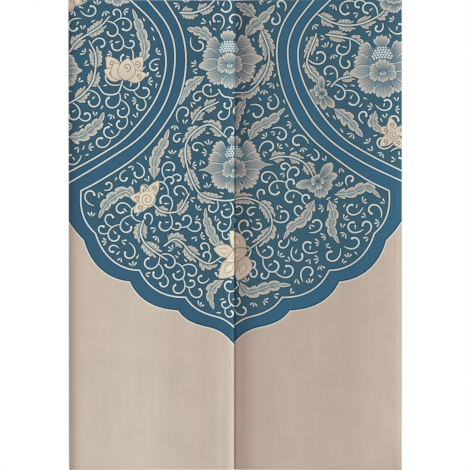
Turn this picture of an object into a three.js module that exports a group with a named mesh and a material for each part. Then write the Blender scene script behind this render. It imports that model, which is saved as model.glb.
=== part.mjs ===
// A noren: a door curtain of two cloth panels, sewn together down the middle near the top and free below.
// Millimetres. +X is to the viewer's right, +Y goes away from the viewer and +Z is up.
// The origin is the middle of the top edge, where the seam between the panels starts.
import * as THREE from 'three';

// Outline of the hung curtain
const curtainWidth = 850;
const curtainDrop = 1200;
const seamLength = 230;

// Cloth and hems. A hem is turned to the back, so it thickens the cloth on that side only.
const clothThickness = 1.4;
const hemThickness = 2.3;
const sideHemWidth = 20;
const slitHemWidth = 12;
const bottomHemDepth = 24;
const hemStepWidth = 2;

// The slit. Below the seam the edges first part in depth, and then the left one laps over the right one.
const seamGap = 0.3;
const partingLength = 34;
const lapLength = 60;
const lapWidth = 4;
const leftEdgeForward = 1.8;
const rightEdgeBack = 2.6;
const edgeShiftReach = 26;

// Grid of the faceted sheets
const columnSpacing = 18;
const rowSpacing = 50;
const transitionRowSpacing = 12;

// Each row is one line down a panel. fromMiddle is its distance from the seam, and the other columns say how far
// the cloth stands forward of the seam there: at the top edge, at the slit's start, halfway down and at the bottom.
const leftFolds = [
  { fromMiddle: 0, atTop: 0, atSlit: 0, atHalf: 0, atBottom: 0 },
  { fromMiddle: 14, atTop: 1.5, atSlit: 1.8, atHalf: 2.0, atBottom: 2.3 },
  { fromMiddle: 34, atTop: 2.6, atSlit: 2.9, atHalf: 3.2, atBottom: 3.6 },
  { fromMiddle: 62, atTop: 3.2, atSlit: 3.2, atHalf: 3.0, atBottom: 3.0 },
  { fromMiddle: 110, atTop: 6.2, atSlit: 6.4, atHalf: 5.8, atBottom: 5.2 },
  { fromMiddle: 190, atTop: 11.4, atSlit: 12.0, atHalf: 12.2, atBottom: 11.0 },
  { fromMiddle: 280, atTop: 16.4, atSlit: 17.6, atHalf: 18.2, atBottom: 18.6 },
  { fromMiddle: 350, atTop: 20.2, atSlit: 21.4, atHalf: 22.4, atBottom: 23.0 },
  { fromMiddle: 398, atTop: 22.0, atSlit: 23.4, atHalf: 24.4, atBottom: 25.2 },
  { fromMiddle: 412, atTop: 21.4, atSlit: 22.6, atHalf: 23.4, atBottom: 23.8 },
  { fromMiddle: 425, atTop: 19.8, atSlit: 20.6, atHalf: 21.0, atBottom: 20.6 },
];
const rightFolds = [
  { fromMiddle: 0, atTop: 0, atSlit: 0, atHalf: 0, atBottom: 0 },
  { fromMiddle: 12, atTop: 3.0, atSlit: 3.2, atHalf: 3.4, atBottom: 3.4 },
  { fromMiddle: 30, atTop: 6.8, atSlit: 7.2, atHalf: 7.6, atBottom: 7.8 },
  { fromMiddle: 64, atTop: 12.0, atSlit: 12.8, atHalf: 13.6, atBottom: 13.8 },
  { fromMiddle: 110, atTop: 17.0, atSlit: 18.0, atHalf: 18.6, atBottom: 19.2 },
  { fromMiddle: 180, atTop: 22.0, atSlit: 23.2, atHalf: 24.2, atBottom: 25.2 },
  { fromMiddle: 260, atTop: 27.4, atSlit: 28.8, atHalf: 30.0, atBottom: 31.0 },
  { fromMiddle: 325, atTop: 31.8, atSlit: 33.0, atHalf: 34.6, atBottom: 35.8 },
  { fromMiddle: 380, atTop: 33.2, atSlit: 34.6, atHalf: 36.2, atBottom: 37.2 },
  { fromMiddle: 425, atTop: 32.6, atSlit: 33.8, atHalf: 35.4, atBottom: 36.0 },
];

// How far the outer side edges stand in from a straight plumb line, at a share of the drop
const leftSideLine = [
  { downShare: 0, inward: 0 },
  { downShare: 0.5, inward: 0.4 },
  { downShare: 0.86, inward: 0.8 },
  { downShare: 0.93, inward: 3.2 },
  { downShare: 1, inward: 2.6 },
];
const rightSideLine = [
  { downShare: 0, inward: 0 },
  { downShare: 0.45, inward: 0.6 },
  { downShare: 1, inward: 0.4 },
];

// The free bottom corner that curls, and where it starts along and above the corner
const cornerCurl = { reachAcross: 46, reachUp: 60, forward: 7 };

// A smooth curve through rows of a table, by the column names of its two axes
function smoothThrough(rows, along, value, at) {
  const last = rows.length - 1;
  let i = 0;
  while (i < last - 1 && rows[i + 1][along] < at) i += 1;
  const slopeAt = (k) => {
    const before = rows[Math.max(k - 1, 0)];
    const after = rows[Math.min(k + 1, last)];
    return (after[value] - before[value]) / (after[along] - before[along]);
  };
  const width = rows[i + 1][along] - rows[i][along];
  const t = THREE.MathUtils.clamp((at - rows[i][along]) / width, 0, 1);
  const rise = rows[i + 1][value] - rows[i][value];
  const startBend = slopeAt(i) * width - rise;
  const endBend = -slopeAt(i + 1) * width + rise;
  return rows[i][value] + rise * t + t * (1 - t) * (startBend * (1 - t) + endBend * t);
}

// How far forward the cloth stands at a place on a panel
const heightColumns = ['atTop', 'atSlit', 'atHalf', 'atBottom'];
const heightsDown = [0, seamLength, curtainDrop / 2, curtainDrop];

function forwardOf(folds, fromMiddle, down) {
  const lines = heightColumns.map((column, k) => ({
    down: heightsDown[k],
    forward: smoothThrough(folds, 'fromMiddle', column, fromMiddle),
  }));
  return smoothThrough(lines, 'down', 'forward', down);
}

// 0 above the seam's end and 1 once the edges have parted, or have lapped
const partedShare = (down) => THREE.MathUtils.smoothstep(down, seamLength, seamLength + partingLength);
const lappedShare = (down) =>
  THREE.MathUtils.smoothstep(down, seamLength + partingLength, seamLength + partingLength + lapLength);

// Even steps between two distances, no longer than the spacing
function stepsBetween(start, end, spacing) {
  const count = Math.max(1, Math.ceil((end - start) / spacing));
  return Array.from({ length: count }, (_, k) => start + ((end - start) * k) / count);
}

// Lines across a panel, from its middle edge out, with one pair at each hem's step
const panelWidth = curtainWidth / 2;
const columnsFromMiddle = [
  ...stepsBetween(0, slitHemWidth, slitHemWidth / 3),
  ...stepsBetween(slitHemWidth, slitHemWidth + hemStepWidth, hemStepWidth),
  ...stepsBetween(slitHemWidth + hemStepWidth, panelWidth - sideHemWidth - hemStepWidth, columnSpacing),
  ...stepsBetween(panelWidth - sideHemWidth - hemStepWidth, panelWidth - sideHemWidth, hemStepWidth),
  ...stepsBetween(panelWidth - sideHemWidth, panelWidth, sideHemWidth / 4),
  panelWidth,
];
const transitionEnd = seamLength + partingLength + lapLength;
const rowsDown = [
  ...stepsBetween(0, seamLength, rowSpacing),
  ...stepsBetween(seamLength, transitionEnd, transitionRowSpacing),
  ...stepsBetween(transitionEnd, curtainDrop - bottomHemDepth - hemStepWidth, rowSpacing),
  ...stepsBetween(curtainDrop - bottomHemDepth - hemStepWidth, curtainDrop - bottomHemDepth, hemStepWidth),
  ...stepsBetween(curtainDrop - bottomHemDepth, curtainDrop, bottomHemDepth / 2),
  curtainDrop,
];

// The thickness behind the front face: the cloth's own, or the hem's within a hem
function thicknessAt(fromMiddle, down) {
  const inHem =
    fromMiddle <= slitHemWidth ||
    fromMiddle >= panelWidth - sideHemWidth ||
    down >= curtainDrop - bottomHemDepth;
  return inHem ? hemThickness : clothThickness;
}

// A panel as one closed sheet: a front and a back grid of points, joined round the rim.
// side is -1 for the left panel and 1 for the right one.
function panelGeometry(side, folds, sideLine, edgeForward) {
  const columns = columnsFromMiddle.length;
  const rows = rowsDown.length;
  const positions = [];
  const placePoint = (column, row, isBack) => {
    const fromMiddle = columnsFromMiddle[column];
    const down = rowsDown[row];
    const outward = fromMiddle / panelWidth;
    const inward = smoothThrough(sideLine, 'downShare', 'inward', down / curtainDrop);
    const lap = lappedShare(down) * (lapWidth / 2 + seamGap / 2);
    const x = side * (fromMiddle - inward * outward + (seamGap / 2 - lap) * (1 - outward));
    const nearEdge = 1 - THREE.MathUtils.smoothstep(fromMiddle, 0, edgeShiftReach);
    let forward = forwardOf(folds, fromMiddle, down) + edgeForward * nearEdge * partedShare(down);
    if (side > 0) {
      const across = 1 - (panelWidth - fromMiddle) / cornerCurl.reachAcross;
      const up = 1 - (curtainDrop - down) / cornerCurl.reachUp;
      forward += cornerCurl.forward * Math.max(0, (across + up) / 2) ** 2;
    }
    const behindFront = isBack ? thicknessAt(fromMiddle, down) : 0;
    positions.push(x, behindFront - clothThickness / 2 - forward, -down);
  };
  for (const isBack of [false, true]) {
    for (let row = 0; row < rows; row += 1) {
      for (let column = 0; column < columns; column += 1) placePoint(column, row, isBack);
    }
  }

  const front = (column, row) => row * columns + column;
  const back = (column, row) => rows * columns + front(column, row);
  const indices = [];
  const addQuad = (a, b, c, d) => {
    if (side > 0) indices.push(a, b, c, a, c, d);
    else indices.push(a, c, b, a, d, c);
  };
  for (let row = 0; row < rows - 1; row += 1) {
    for (let column = 0; column < columns - 1; column += 1) {
      addQuad(
        front(column, row),
        front(column, row + 1),
        front(column + 1, row + 1),
        front(column + 1, row),
      );
      addQuad(
        back(column, row),
        back(column + 1, row),
        back(column + 1, row + 1),
        back(column, row + 1),
      );
    }
  }
  const rim = [
    ...Array.from({ length: rows - 1 }, (_, k) => [0, k]),
    ...Array.from({ length: columns - 1 }, (_, k) => [k, rows - 1]),
    ...Array.from({ length: rows - 1 }, (_, k) => [columns - 1, rows - 1 - k]),
    ...Array.from({ length: columns - 1 }, (_, k) => [columns - 1 - k, 0]),
  ];
  rim.forEach((corner, k) => {
    const next = rim[(k + 1) % rim.length];
    addQuad(front(...corner), back(...corner), back(...next), front(...next));
  });

  const geometry = new THREE.BufferGeometry();
  geometry.setAttribute('position', new THREE.Float32BufferAttribute(positions, 3));
  geometry.setIndex(indices);
  geometry.computeVertexNormals();
  return geometry;
}

const clothMaterial = (color) => new THREE.MeshStandardMaterial({ color, roughness: 0.9, metalness: 0 });

const panelLeft = new THREE.Mesh(
  panelGeometry(-1, leftFolds, leftSideLine, leftEdgeForward),
  clothMaterial(0xc6b9a9),
);
panelLeft.name = 'panel_left';

const panelRight = new THREE.Mesh(
  panelGeometry(1, rightFolds, rightSideLine, -rightEdgeBack),
  clothMaterial(0xbbab9c),
);
panelRight.name = 'panel_right';

const group = new THREE.Group();
group.add(panelLeft, panelRight);

export default group;
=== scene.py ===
import math
import random

import bmesh
import bpy
import numpy as np
from mathutils import Matrix, Vector
from mathutils.geometry import delaunay_2d_cdt


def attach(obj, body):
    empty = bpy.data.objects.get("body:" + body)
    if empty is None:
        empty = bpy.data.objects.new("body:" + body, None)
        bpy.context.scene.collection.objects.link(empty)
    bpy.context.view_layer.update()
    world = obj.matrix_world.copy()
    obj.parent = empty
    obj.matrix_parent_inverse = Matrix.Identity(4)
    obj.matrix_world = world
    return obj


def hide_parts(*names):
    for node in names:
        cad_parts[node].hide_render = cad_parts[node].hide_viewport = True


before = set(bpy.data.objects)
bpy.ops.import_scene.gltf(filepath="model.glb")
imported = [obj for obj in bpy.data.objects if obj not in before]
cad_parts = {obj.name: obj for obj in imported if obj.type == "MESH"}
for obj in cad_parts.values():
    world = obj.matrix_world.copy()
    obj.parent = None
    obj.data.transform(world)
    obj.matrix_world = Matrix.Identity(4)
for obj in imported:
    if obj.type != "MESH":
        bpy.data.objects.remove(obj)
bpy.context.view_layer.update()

# The scene's units are metres. Tables and drawing functions use millimetres, as the part's own sizes do.
metre = 0.001


def table(columns, *rows):
    # a short table: the names of its columns, then a tuple for each row
    return [dict(zip(columns.split(), row)) for row in rows]


def smoothstep(value, low, high):
    t = np.clip((value - low) / (high - low), 0, 1)
    return t * t * (3 - 2 * t)


# The print is drawn on the hung curtain, in millimetres: x to the right of the seam and y down from the top
inkColours = {
    "cloth": (0.787, 0.723, 0.667),
    "band": (0.188, 0.361, 0.469),
    "ground": (0.198, 0.356, 0.441),
    "halo": (0.055, 0.105, 0.130),
    "line": (0.830, 0.895, 0.905),
    "bud": (0.885, 0.835, 0.760),
    "budShade": (0.820, 0.760, 0.680),
    "budLine": (0.300, 0.270, 0.250),
    "rim": (0.860, 0.880, 0.865),
    "petal": (0.770, 0.750, 0.705),
    "petalShade": (0.400, 0.525, 0.590),
    "leafShade": (0.500, 0.580, 0.605),
    "vein": (0.340, 0.395, 0.425),
}
# painted in this order, each as its outline, its first and last colour and the places of these two
shapes = []


def paint(outline, colour, fadeTo=None, fadeFrom=(0, 0), fadeEnd=(0, 1)):
    first = inkColours[colour]
    last = inkColours[fadeTo] if fadeTo else first
    shapes.append((np.asarray(outline, float), first, last, fadeFrom, fadeEnd))


def towards(angle):
    return np.array([math.cos(math.radians(angle)), math.sin(math.radians(angle))])


def evenly(line, step):
    # the same line with its points at even steps
    steps = np.linalg.norm(np.diff(line, axis=0), axis=1)
    along = np.concatenate([[0], np.cumsum(steps)])
    count = max(2, int(math.ceil(along[-1] / step)) + 1)
    at = np.linspace(0, along[-1], count)
    return np.stack([np.interp(at, along, line[:, k]) for k in (0, 1)], 1)


def smoothPath(points, step):
    # a smooth line through a few given points
    points = np.asarray(points, float)
    padded = np.vstack([2 * points[0] - points[1], points, 2 * points[-1] - points[-2]])
    t = np.linspace(0, 1, 12, endpoint=False)[:, None]
    pieces = []
    for a, b, c, d in zip(padded, padded[1:], padded[2:], padded[3:]):
        bend = (2 * a - 5 * b + 4 * c - d) * t**2
        pieces.append(0.5 * (2 * b + (c - a) * t + bend + (3 * b - a - 3 * c + d) * t**3))
    return evenly(np.vstack(pieces + [points[-1:]]), step)


def vine(start, heading, length, bendStart, bendEnd, step):
    # a line whose bend grows evenly, from and to so many degrees a millimetre
    count = max(4, int(length / step))
    t = (np.arange(count) + 0.5) / count
    turned = heading + length * (bendStart * t + (bendEnd - bendStart) * t**2 / 2)
    moves = np.stack([np.cos(np.radians(turned)), np.sin(np.radians(turned))], 1) * length / count
    return np.vstack([start, np.asarray(start) + np.cumsum(moves, axis=0)])


def sidesOf(line):
    # the direction to the right of travel at each point of a line, and the direction of travel
    along = np.gradient(line, axis=0)
    along /= np.maximum(np.linalg.norm(along, axis=1, keepdims=True), 1e-9)
    return np.stack([-along[:, 1], along[:, 0]], 1), along


def stroke(line, width, roundEnds=True):
    # the outline of a line drawn with a width, which may differ along it
    line = np.asarray(line, float)
    half = np.broadcast_to(np.asarray(width, float) / 2, (len(line),))[:, None]
    across, along = sidesOf(line)

    def roundEnd(k, way):
        points = []
        for angle in (60, 30, 0, -30, -60) if roundEnds else ():
            turn = math.radians(way * angle)
            points.append(line[k] + half[k] * (way * along[k] * math.cos(turn) + across[k] * math.sin(turn)))
        return points

    first, second = line + across * half, line - across * half
    return np.vstack([first, *roundEnd(-1, 1), second[::-1], *roundEnd(0, -1)])


def paintLine(line, width, halo):
    # a light line with the dark edge that sets it off from the blue
    paint(stroke(line, np.asarray(width) + 2 * halo), "halo")
    paint(stroke(line, width), "line")


def hatch(points, width=0.9):
    paint(stroke(np.array(points), width, False), "vein")


def grown(outline, by):
    # an outline moved outwards by a distance, or inwards where it is negative
    closed = np.vstack([outline[-1:], outline, outline[:1]])
    along = closed[2:] - closed[:-2]
    along /= np.maximum(np.linalg.norm(along, axis=1, keepdims=True), 1e-9)
    area = np.sum(outline[:, 0] * np.roll(outline[:, 1], -1) - np.roll(outline[:, 0], -1) * outline[:, 1])
    outward = np.stack([along[:, 1], -along[:, 0]], 1) * math.copysign(1, area)
    return outline + outward * by


def paintEdge(outline, halo):
    # the light rim of a leaf or petal on the dark edge around it
    paint(grown(outline, halo), "halo")
    paint(outline, "rim")


def ring(turns, radius):
    return radius * np.stack([np.cos(turns), np.sin(turns)], 1)


def roundSpot(centre, radius):
    return centre + ring(np.linspace(0, 2 * math.pi, 9, endpoint=False), radius)


# Leaves and petals
lobeSizes = [0.86, 1.0, 0.80, 1.06, 0.84, 0.96, 0.78]  # repeats along a leaf, so that its lobes differ
lobeSteps = 6


def lobedEdge(spine, side, width, lobes, lean, inset=0.0):
    # one edge of a leaf, from its base to its tip, with rounded lobes that lean towards the tip
    t = np.linspace(0, 1, lobes * lobeSteps + 1)
    reach = np.linspace(0, len(spine) - 1, len(t))
    at = np.stack([np.interp(reach, np.arange(len(spine)), spine[:, k]) for k in (0, 1)], 1)
    across, along = sidesOf(at)
    lobe = np.interp((t * lobes) % 1.0, [0, 0.17, 0.5, 0.83, 1], [0.05, 0.72, 1, 0.94, 0.3])
    sizes = np.array([lobeSizes[(int(k) + lobes) % len(lobeSizes)] for k in t * lobes])
    outline = 1.30 * np.sin(math.pi * t**0.74) ** 0.70 * (1 - 0.28 * t)
    out = np.maximum(width * outline * sizes * (0.5 + 0.5 * lobe) - inset, 0)
    forward = 0.6 * lean * width * lobe * (1 - 0.6 * t)
    return at + side * across * out[:, None] + along * forward[:, None] * (t < 0.97)[:, None]


def leaf(spine, width, second, lobes):
    # a lobed leaf on its midrib: width and second are the widths of its two sides
    spine = evenly(spine, 2.5)

    def outlineOf(inset, share=1.0):
        first = lobedEdge(spine, 1, width * share, lobes, 0.5, inset)
        other = lobedEdge(spine, -1, second * share, lobes, 0.5, inset)
        return np.vstack([first, other[-2:0:-1]])

    paintEdge(outlineOf(0), 2.0)
    paint(outlineOf(1.8), "petal")
    paint(outlineOf(0, 0.46), "leafShade")
    for edge, side in ((width, 1), (second, -1)):
        veins = lobedEdge(spine, side, edge * 0.80, lobes, 0.5)
        for k in range(lobes - 1):
            tip = veins[int((k + 0.6) * lobeSteps)]
            root = spine[int(len(spine) * (k + 0.15) / lobes)]
            hatch([root, (root + tip) / 2, tip], 1.0)
    midrib = spine[: -len(spine) // 8]
    for start, end, colour in ((3.9, 1.8, "vein"), (2.5, 1.1, "rim")):
        paint(stroke(midrib, np.linspace(start, end, len(midrib))), colour)


def stemBlade(stem, startShare, endShare, side, width, lobes):
    # half a leaf that grows along a stem, with its lobed edge outwards and its tip standing free
    last = len(stem) - 1
    spine = evenly(stem[int(startShare * last): int(endShare * last) + 1], 2.5)
    across = sidesOf(spine)[0]
    t = np.linspace(0, 1, len(spine))[:, None]
    flared = spine + side * across * (0.9 + 0.5 * width * t**3)

    def outlineOf(inset, share=1.0):
        edge = lobedEdge(flared, side, width * share, lobes, 0.55, inset)
        return np.vstack([edge, (flared + side * across * inset)[-2:0:-1]])

    paintEdge(outlineOf(0), 1.9)
    paint(outlineOf(1.7), "petal")
    paint(outlineOf(0.8, 0.42), "leafShade")
    inside = lobedEdge(flared, side, width * 0.78, lobes, 0.5)
    for k in range(lobes):
        root = flared[int((len(flared) - 1) * (k + 0.1) / lobes)]
        hatch([root, inside[min(int((k + 0.66) * lobeSteps), len(inside) - 1)]], 1.0)


def leafyStem(points, bladeWidth, blades):
    # a stem through given points
    # each blade is a row of its start and end, as shares of the stem, its side and its number of lobes
    stem = smoothPath(points, 2.5)
    for start, end, side, lobes in blades:
        stemBlade(stem, start, end, side, bladeWidth, lobes)
    full, thin = 3.8, 3.8 * 0.8
    t = np.linspace(0, 1, len(stem))
    paintLine(stem, np.where(t < 0.5, full, thin + (full - thin) * np.sin(t * math.pi)), 1.8)
    return stem


def petalFade(outline, colour, base, reach, start, end):
    # a petal's fill: its own colour near the tip and shaded near the base
    paint(outline, colour, "petalShade", base + reach * start, base + reach * end)


def twoSided(base, heading, reach, wide, sway=0.0):
    # the outline of a petal whose two sides run from its base to its tip
    middle = base + np.outer(reach, towards(heading))
    right = towards(heading + 90)
    first = middle + np.outer(sway + wide, right)
    second = middle + np.outer(sway - wide, right)
    return np.vstack([first, second[-2:0:-1]])


def fanPetal(base, heading, length, spread, lobes, bend=0.0, rim=1.6, tone="petal", hatches=4, shadeAt=0.3):
    # a broad petal with a scalloped edge: spread is half its angle and bend turns its rim to one side
    sideways = np.linspace(-1, 1, lobes * 7 + 1)
    lobe = np.abs(np.sin(math.pi * lobes * (sideways + 1) / 2)) ** 0.55

    def outlineOf(inset):
        angles = np.concatenate([sideways, [0.98, 0.86, 0.60], [-0.60, -0.86, -0.98]])
        edge = (1 - 0.20 * np.abs(sideways) ** 2.5) * (0.86 + 0.14 * lobe)
        shares = np.concatenate([edge, [0.60, 0.36, 0.12], [0.12, 0.36, 0.60]])
        reach = np.maximum(length * shares - inset, 0.5)
        half = spread - math.degrees(inset / (0.62 * length))
        return base + ring(np.radians(heading + half * angles + bend * shares**2), reach[:, None])

    paintEdge(outlineOf(0), 1.2)
    tip = base + towards(heading + bend) * length
    petalFade(outlineOf(rim), tone, base, tip - base, 0.95, shadeAt)
    for k in range(hatches):
        side = (k + 0.5) / hatches * 2 - 1
        hatch([base + towards(heading + 0.82 * spread * side + bend * share**2) * length * share
               for share in (0.30, 0.55, 0.80 - 0.10 * abs(side))])


def tonguePetal(base, heading, length, width, bend, drawn, waves):
    # a long petal with waves along its sides, full towards its end or drawn out to a point
    forward, right = towards(heading), towards(heading + 90)
    t = np.linspace(0, 1, 34)
    swell = np.sin(math.pi * t**1.15) ** 0.6 * (1 - 0.72 * drawn * smoothstep(t, 0.52, 0.84))
    swell = swell * (1 + 0.11 * np.sin(2 * math.pi * waves * t))

    def outlineOf(inset):
        wide = np.maximum(width / 2 - inset, 0.3) * swell
        return twoSided(base, heading, inset * 1.2 + (length - 2.2 * inset) * t, wide, bend * length * t**2)

    tip = base + forward * length
    paintEdge(outlineOf(0), 1.5)
    petalFade(outlineOf(1.9), "petal", base, tip - base, 0.9, 0.2)
    for k in (-1, 0, 1):
        shares = np.array([0.12, 0.45, 0.80 - 0.10 * abs(k)])
        line = base + np.outer(length * shares, forward)
        aside = bend * length * shares**2 + k * width * 0.22 * np.sin(math.pi * shares)
        hatch(line + np.outer(aside, right))


def roundPetal(base, heading, length, width):
    # a plain petal with a round end, hatched from its base
    forward, right = towards(heading), towards(heading + 90)
    t = np.linspace(0, 1, 16)
    swell = np.sin(math.pi * t**1.35) ** 0.62

    def outlineOf(inset):
        wide = np.maximum(width / 2 - inset, 0.3) * swell
        return twoSided(base, heading, inset + (length - 2 * inset) * t, wide)

    paintEdge(outlineOf(0), 1.2)
    petalFade(outlineOf(1.6), "petal", base, forward * length, 0.95, 0.2)
    for k in (-1, 0, 1):
        end = base + forward * length * (0.78 - 0.08 * abs(k)) + right * k * width * 0.2
        hatch([base + forward * length * 0.15, end])


def pointedPetal(base, heading, length, width, turn, inner):
    # a lotus petal: a full drop shape with something drawn inside it, a drop, a whorl or a line
    forward, right = towards(heading), towards(heading + 90)
    t = np.linspace(0, 1, 20)
    swell = np.sin(math.pi * t**0.85) ** 0.8

    def outlineOf(inset, start=0.0, end=1.0, full=1.0):
        share = start + (end - start) * t
        wide = np.maximum(width / 2 * full - inset, 0.2) * swell
        reach = inset * 1.3 + (length - 2.8 * inset) * share
        return twoSided(base, heading, reach, wide, turn * length * share**2)

    paint(grown(outlineOf(0), 1.3), "budLine")
    paint(outlineOf(0), "bud", "budShade", base + forward * length, base)
    if inner == "drop":
        paint(outlineOf(0, 0.30, 0.74, 0.44), "budLine")
        paint(outlineOf(1.2, 0.30, 0.74, 0.44), "bud")
    elif inner == "line":
        paint(outlineOf(2.4), "budLine")
        paint(outlineOf(3.5), "bud", "budShade", base + forward * length, base)
    elif inner == "whorl":
        centre = base + forward * length * 0.60 + right * turn * length * 0.36
        radius = np.linspace(1.0, width * 0.27, 30)[:, None]
        paint(stroke(centre + ring(np.linspace(0, 2.5 * math.pi, 30), radius), 1.7), "budLine")


def drop(base, heading, length, width):
    # a loose drop of the filling, thin at its base
    t = np.linspace(0, 1, 8)
    wide = width / 2 * (0.25 + 0.75 * t) * np.sqrt(np.clip(1 - ((t - 0.62) / 0.42).clip(0) ** 2, 0.02, 1))
    line = base + np.outer(t * length, towards(heading))
    right = towards(heading + 90)
    for halo, colour in ((1.6, "halo"), (0, "line")):
        first = line + np.outer(wide + halo, right)
        second = line + np.outer(-wide - halo, right)
        outline = np.vstack([first, second[::-1]])
        if halo:
            beyond = towards(heading) * halo * 0.8
            outline = np.vstack([line[:1] - beyond, first, line[-1:] + beyond * 1.4, second[::-1]])
        paint(outline, colour)


# Flowers, each from a short table of its petals, for a flower of radius 1 seen from one side
peonyFans = table(
    "aside below heading reach spread lobes bend",
    (0.00, -0.50, -90, 0.54, 40, 5, 0),
    (0.18, -0.38, -27, 0.64, 36, 5, 0),
    (-0.20, -0.38, -153, 0.62, 36, 5, 0),
    (-0.16, 0.30, 148, 0.72, 38, 6, 0),
    (0.20, 0.30, 32, 0.70, 38, 5, 0),
    (0.02, 0.36, 92, 0.66, 44, 5, 0),
    (0.22, -0.12, -12, 0.74, 30, 5, 6),
    (-0.22, -0.12, -168, 0.72, 30, 5, -6),
    (0.20, 0.20, 14, 0.72, 26, 4, 0),
)
peonyTongues = table(
    "aside below heading reach width bend waves",
    (0.12, 0.05, -5, 1.06, 0.40, 0.05, 2),
    (-0.12, 0.07, 175, 0.98, 0.42, -0.03, 2),
)
stamenRows = table("below count", (-0.63, 4), (-0.56, 6), (-0.48, 7), (-0.40, 8), (-0.32, 7))
heartPetals = table(
    "aside below heading reach spread lobes bend",
    (-0.04, 0.10, -164, 0.40, 28, 3, 0),
    (0.04, 0.10, -16, 0.40, 28, 3, 0),
    (-0.06, 0.12, 146, 0.44, 30, 3, 0),
    (0.06, 0.12, 34, 0.44, 30, 3, 0),
    (0.00, 0.16, 90, 0.34, 40, 3, 0),
    (0.00, 0.20, -90, 0.46, 42, 4, 0),
    (0.00, 0.08, 90, 0.20, 44, 2, 0),
)


def peony(across, down, radius, turn=0.0, wider=1.0, drawn=0.0):
    centre = np.array([across, down])
    ahead, below = towards(turn), towards(turn + 90)

    def placed(row):
        return centre + radius * (wider * row["aside"] * ahead + row["below"] * below)

    def fans(rows, rim, hatches, shadeAt):
        for row in rows:
            fanPetal(placed(row), row["heading"] + turn, radius * row["reach"], row["spread"], row["lobes"],
                     row["bend"], rim, "petal", hatches, shadeAt)

    # the petals' shaded bases run together
    around = np.linspace(0, 2 * math.pi, 28, endpoint=False)[:, None]
    bases = 0.66 * wider * np.cos(around) * ahead + 0.68 * np.sin(around) * below
    paint(centre + radius * bases, "petalShade")
    fans(peonyFans, 2.0, 5, 0.28)
    for row in peonyTongues:
        length = radius * row["reach"] * (wider + 0.16 * drawn)
        tonguePetal(placed(row), row["heading"] + turn, length, radius * row["width"], row["bend"], drawn,
                    row["waves"])
    for row in stamenRows:
        for k in range(row["count"]):
            aside = (k - (row["count"] - 1) / 2) * 0.090
            place = centre + radius * (aside * ahead + (row["below"] + 0.5 * aside**2) * below)
            paint(roundSpot(place, 4.0 * radius / 73), "halo")
            paint(roundSpot(place, 2.9 * radius / 73), "line")
    fans(heartPetals, 1.6, 3, 0.2)


def lotus(across, down, core, petals):
    # petals: rows of the base's place from the middle, heading, length, width, turn and what is drawn inside
    centre = np.array([across, down])
    for aside, below, heading, length, width, turn, inner in petals:
        pointedPetal(centre + [aside, below], heading, length, width, turn, inner)
    if core:
        paint(roundSpot(centre, core + 1.3), "budLine")
        paint(centre + ring(np.linspace(0, 2 * math.pi, 24, endpoint=False), core), "bud")
        turns = np.linspace(0, 3.6 * math.pi, 44)
        radius = core * 0.86 * (1 - turns / turns[-1] * 0.85)
        paint(stroke(centre + ring(turns, radius[:, None]), 1.5), "budLine")


def fivePetals(across, down, radius, turn=0.0):
    # a side view: plain petals above and to one side, scalloped ones below and a curled heart
    centre = np.array([across, down])
    low = centre + towards(turn + 60) * radius * 0.10
    for heading, reach, spread in ((20, 0.86, 28), (140, 0.80, 27), (78, 0.98, 34)):
        fanPetal(low, heading + turn, radius * reach, spread, 4)
    for heading, reach, width in ((166, 1.28, 0.54), (-18, 1.12, 0.52), (-52, 1.28, 0.60)):
        base = centre + towards(heading + turn) * radius * 0.1
        roundPetal(base, heading + turn, radius * reach, radius * width)
    for heading, reach in ((80, 0.56), (160, 0.44), (-150, 0.44), (-95, 0.42), (10, 0.40)):
        fanPetal(centre, heading + turn, radius * reach, 30, 2, 0.0, 1.3, "bud", 1)


# The scroll filling: curls that branch from the stems and from each other, and loose drops between them
cell = 1.5
originAcross, originDown = -450.0, -20.0
columns, rows = int(900 / cell), int(920 / cell)
fillStyle = {
    "sizes": (17.0, 15.0, 13.0, 11.0, 9.5),
    "leans": (30, 52, 76, 14),
    "branchesAt": (0.25, 0.45, 0.62),
    "looseTries": 2500,
    "widths": (1.8, 3.1, 3.8, 4.3),
    "bolderOnRight": 1.14,
    "endSpot": 3.3,
    "halo": 3.8,
    "curlRoom": 10.2,
    "edgeRoom": 8.5,
    "motifRoom": 4.2,
    "dropRoom": 6.8,
    "dropsApart": 8.6,
    "dropLength": (10.0, 13.5),
    "dropWidth": 5.2,
    "dropsAt": (0.75, 0.32, 0.52),
    "seed": 7,
}
# the leans of the drops of a sprig, the fullest first, and how often each is tried in the holes
sprigs = (((-42, 0, 42), 5000), ((-24, 24), 9000), ((0,), 7000))


def insideOutline(outline, places):
    # the nonzero rule, so an outline that crosses itself is filled all over
    ends = np.roll(outline, -1, axis=0)
    across, down = (ends - outline).T
    inside = np.zeros(len(places), bool)
    chunk = max(1, 2000000 // len(outline))
    for first in range(0, len(places), chunk):
        x = places[first:first + chunk, 0][:, None]
        y = places[first:first + chunk, 1][:, None]
        upwards = (outline[:, 1] <= y) & (ends[:, 1] > y)
        downwards = (outline[:, 1] > y) & (ends[:, 1] <= y)
        side = across * (y - outline[:, 1]) - (x - outline[:, 0]) * down
        winding = (upwards & (side > 0)).sum(1) - (downwards & (side < 0)).sum(1)
        inside[first:first + chunk] = winding != 0
    return inside


def cellOf(points):
    points = np.atleast_2d(points)
    col = ((points[:, 0] - originAcross) / cell).astype(int)
    row = ((points[:, 1] - originDown) / cell).astype(int)
    return np.clip(row, 0, rows - 1), np.clip(col, 0, columns - 1)


def cellsInside(outline):
    low, high = cellOf(outline.min(0)), cellOf(outline.max(0))
    row, col = np.mgrid[low[0][0]:high[0][0] + 1, low[1][0]:high[1][0] + 1].reshape(2, -1)
    centres = np.stack([originAcross + (col + 0.5) * cell, originDown + (row + 0.5) * cell], 1)
    inside = insideOutline(outline, centres)
    return row[inside], col[inside]


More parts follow.
